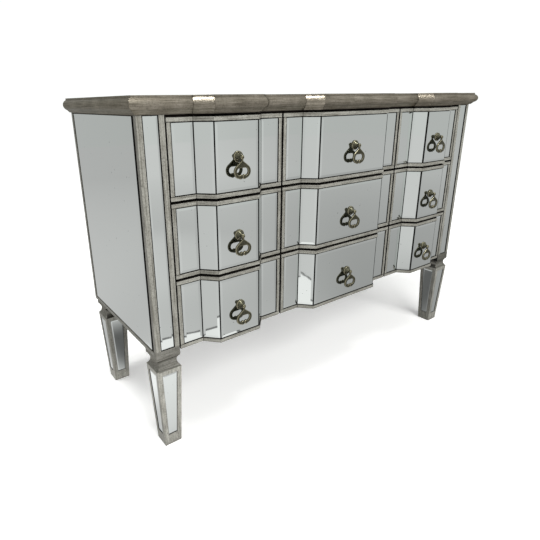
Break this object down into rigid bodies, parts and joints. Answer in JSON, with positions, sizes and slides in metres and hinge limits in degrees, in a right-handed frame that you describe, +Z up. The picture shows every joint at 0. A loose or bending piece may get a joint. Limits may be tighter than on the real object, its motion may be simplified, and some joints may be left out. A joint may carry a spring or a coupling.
{
  "type": "mirrored breakfront chest of drawers",
  "caption": "Straight-sided mirrored chest with breakfront drawers, bevelled panes in silvered wood trim, a moulded top, tapered mirrored legs and brass ring pulls.",
  "frame": {"origin": "on the floor under the middle of the bounding box", "axes": "+X along the width to the chest's own right in the front view, -Y out of the drawers' fronts, +Z up"},
  "size_m": [1.238, 0.4824, 0.84],
  "materials": {
    "silvered_wood": "champagne-silver leaf on wood, rubbed through in places",
    "mirror_glass": "silvered glass with ground bevels",
    "antique_brass": "cast and turned brass, darkened in the hollows",
    "carcass_board": "plain board, stained brown",
    "drawer_wood": "pale planed wood, sealed"
  },
  "bodies": {
    "carcass": {"top_board": "carcass_board", "top_moulding": "silvered_wood", "top_mirror": "mirror_glass", "side_panels": "silvered_wood", "side_mirrors": "mirror_glass", "back_panel": "carcass_board", "bottom_panel": "carcass_board", "partitions": "carcass_board", "drawer_rails": "carcass_board", "drawer_runners": "carcass_board", "front_posts": "silvered_wood", "back_posts": "silvered_wood", "post_mirrors": "mirror_glass", "legs": "silvered_wood", "leg_mirrors": "mirror_glass"},
    "bottom_left_drawer": {"bottom_left_drawer_box": "drawer_wood", "bottom_left_drawer_front": "silvered_wood", "bottom_left_drawer_mirrors": "mirror_glass", "bottom_left_knob": "antique_brass"},
    "bottom_left_pull": {"bottom_left_ring": "antique_brass"},
    "bottom_centre_drawer": {"bottom_centre_drawer_box": "drawer_wood", "bottom_centre_drawer_front": "silvered_wood", "bottom_centre_drawer_mirrors": "mirror_glass", "bottom_centre_knob": "antique_brass"},
    "bottom_centre_pull": {"bottom_centre_ring": "antique_brass"},
    "bottom_right_drawer": {"bottom_right_drawer_box": "drawer_wood", "bottom_right_drawer_front": "silvered_wood", "bottom_right_drawer_mirrors": "mirror_glass", "bottom_right_knob": "antique_brass"},
    "bottom_right_pull": {"bottom_right_ring": "antique_brass"},
    "middle_left_drawer": {"middle_left_drawer_box": "drawer_wood", "middle_left_drawer_front": "silvered_wood", "middle_left_drawer_mirrors": "mirror_glass", "middle_left_knob": "antique_brass"},
    "middle_left_pull": {"middle_left_ring": "antique_brass"},
    "middle_centre_drawer": {"middle_centre_drawer_box": "drawer_wood", "middle_centre_drawer_front": "silvered_wood", "middle_centre_drawer_mirrors": "mirror_glass", "middle_centre_knob": "antique_brass"},
    "middle_centre_pull": {"middle_centre_ring": "antique_brass"},
    "middle_right_drawer": {"middle_right_drawer_box": "drawer_wood", "middle_right_drawer_front": "silvered_wood", "middle_right_drawer_mirrors": "mirror_glass", "middle_right_knob": "antique_brass"},
    "middle_right_pull": {"middle_right_ring": "antique_brass"},
    "top_left_drawer": {"top_left_drawer_box": "drawer_wood", "top_left_drawer_front": "silvered_wood", "top_left_drawer_mirrors": "mirror_glass", "top_left_knob": "antique_brass"},
    "top_left_pull": {"top_left_ring": "antique_brass"},
    "top_centre_drawer": {"top_centre_drawer_box": "drawer_wood", "top_centre_drawer_front": "silvered_wood", "top_centre_drawer_mirrors": "mirror_glass", "top_centre_knob": "antique_brass"},
    "top_centre_pull": {"top_centre_ring": "antique_brass"},
    "top_right_drawer": {"top_right_drawer_box": "drawer_wood", "top_right_drawer_front": "silvered_wood", "top_right_drawer_mirrors": "mirror_glass", "top_right_knob": "antique_brass"},
    "top_right_pull": {"top_right_ring": "antique_brass"}
  },
  "joints": [
    {"name": "bottom_left_drawer_slide", "type": "slide", "parent": "carcass", "child": "bottom_left_drawer", "axis": [0, -1, 0], "range_m": [0, 0.3]},
    {"name": "bottom_left_pull_hinge", "type": "hinge", "parent": "bottom_left_drawer", "child": "bottom_left_pull", "pos_m": [-0.382, -0.23665, 0.3514], "axis": [-1, 0, 0], "range_deg": [-15, 90]},
    {"name": "bottom_centre_drawer_slide", "type": "slide", "parent": "carcass", "child": "bottom_centre_drawer", "axis": [0, -1, 0], "range_m": [0, 0.3]},
    {"name": "bottom_centre_pull_hinge", "type": "hinge", "parent": "bottom_centre_drawer", "child": "bottom_centre_pull", "pos_m": [0, -0.23665, 0.3514], "axis": [-1, 0, 0], "range_deg": [-15, 90]},
    {"name": "bottom_right_drawer_slide", "type": "slide", "parent": "carcass", "child": "bottom_right_drawer", "axis": [0, -1, 0], "range_m": [0, 0.3]},
    {"name": "bottom_right_pull_hinge", "type": "hinge", "parent": "bottom_right_drawer", "child": "bottom_right_pull", "pos_m": [0.382, -0.23665, 0.3514], "axis": [-1, 0, 0], "range_deg": [-15, 90]},
    {"name": "middle_left_drawer_slide", "type": "slide", "parent": "carcass", "child": "middle_left_drawer", "axis": [0, -1, 0], "range_m": [0, 0.3]},
    {"name": "middle_left_pull_hinge", "type": "hinge", "parent": "middle_left_drawer", "child": "middle_left_pull", "pos_m": [-0.382, -0.23665, 0.5304], "axis": [-1, 0, 0], "range_deg": [-15, 90]},
    {"name": "middle_centre_drawer_slide", "type": "slide", "parent": "carcass", "child": "middle_centre_drawer", "axis": [0, -1, 0], "range_m": [0, 0.3]},
    {"name": "middle_centre_pull_hinge", "type": "hinge", "parent": "middle_centre_drawer", "child": "middle_centre_pull", "pos_m": [0, -0.23665, 0.5304], "axis": [-1, 0, 0], "range_deg": [-15, 90]},
    {"name": "middle_right_drawer_slide", "type": "slide", "parent": "carcass", "child": "middle_right_drawer", "axis": [0, -1, 0], "range_m": [0, 0.3]},
    {"name": "middle_right_pull_hinge", "type": "hinge", "parent": "middle_right_drawer", "child": "middle_right_pull", "pos_m": [0.382, -0.23665, 0.5304], "axis": [-1, 0, 0], "range_deg": [-15, 90]},
    {"name": "top_left_drawer_slide", "type": "slide", "parent": "carcass", "child": "top_left_drawer", "axis": [0, -1, 0], "range_m": [0, 0.3]},
    {"name": "top_left_pull_hinge", "type": "hinge", "parent": "top_left_drawer", "child": "top_left_pull", "pos_m": [-0.382, -0.23665, 0.7094], "axis": [-1, 0, 0], "range_deg": [-15, 90]},
    {"name": "top_centre_drawer_slide", "type": "slide", "parent": "carcass", "child": "top_centre_drawer", "axis": [0, -1, 0], "range_m": [0, 0.3]},
    {"name": "top_centre_pull_hinge", "type": "hinge", "parent": "top_centre_drawer", "child": "top_centre_pull", "pos_m": [0, -0.23665, 0.7094], "axis": [-1, 0, 0], "range_deg": [-15, 90]},
    {"name": "top_right_drawer_slide", "type": "slide", "parent": "carcass", "child": "top_right_drawer", "axis": [0, -1, 0], "range_m": [0, 0.3]},
    {"name": "top_right_pull_hinge", "type": "hinge", "parent": "top_right_drawer", "child": "top_right_pull", "pos_m": [0.382, -0.23665, 0.7094], "axis": [-1, 0, 0], "range_deg": [-15, 90]}
  ]
}
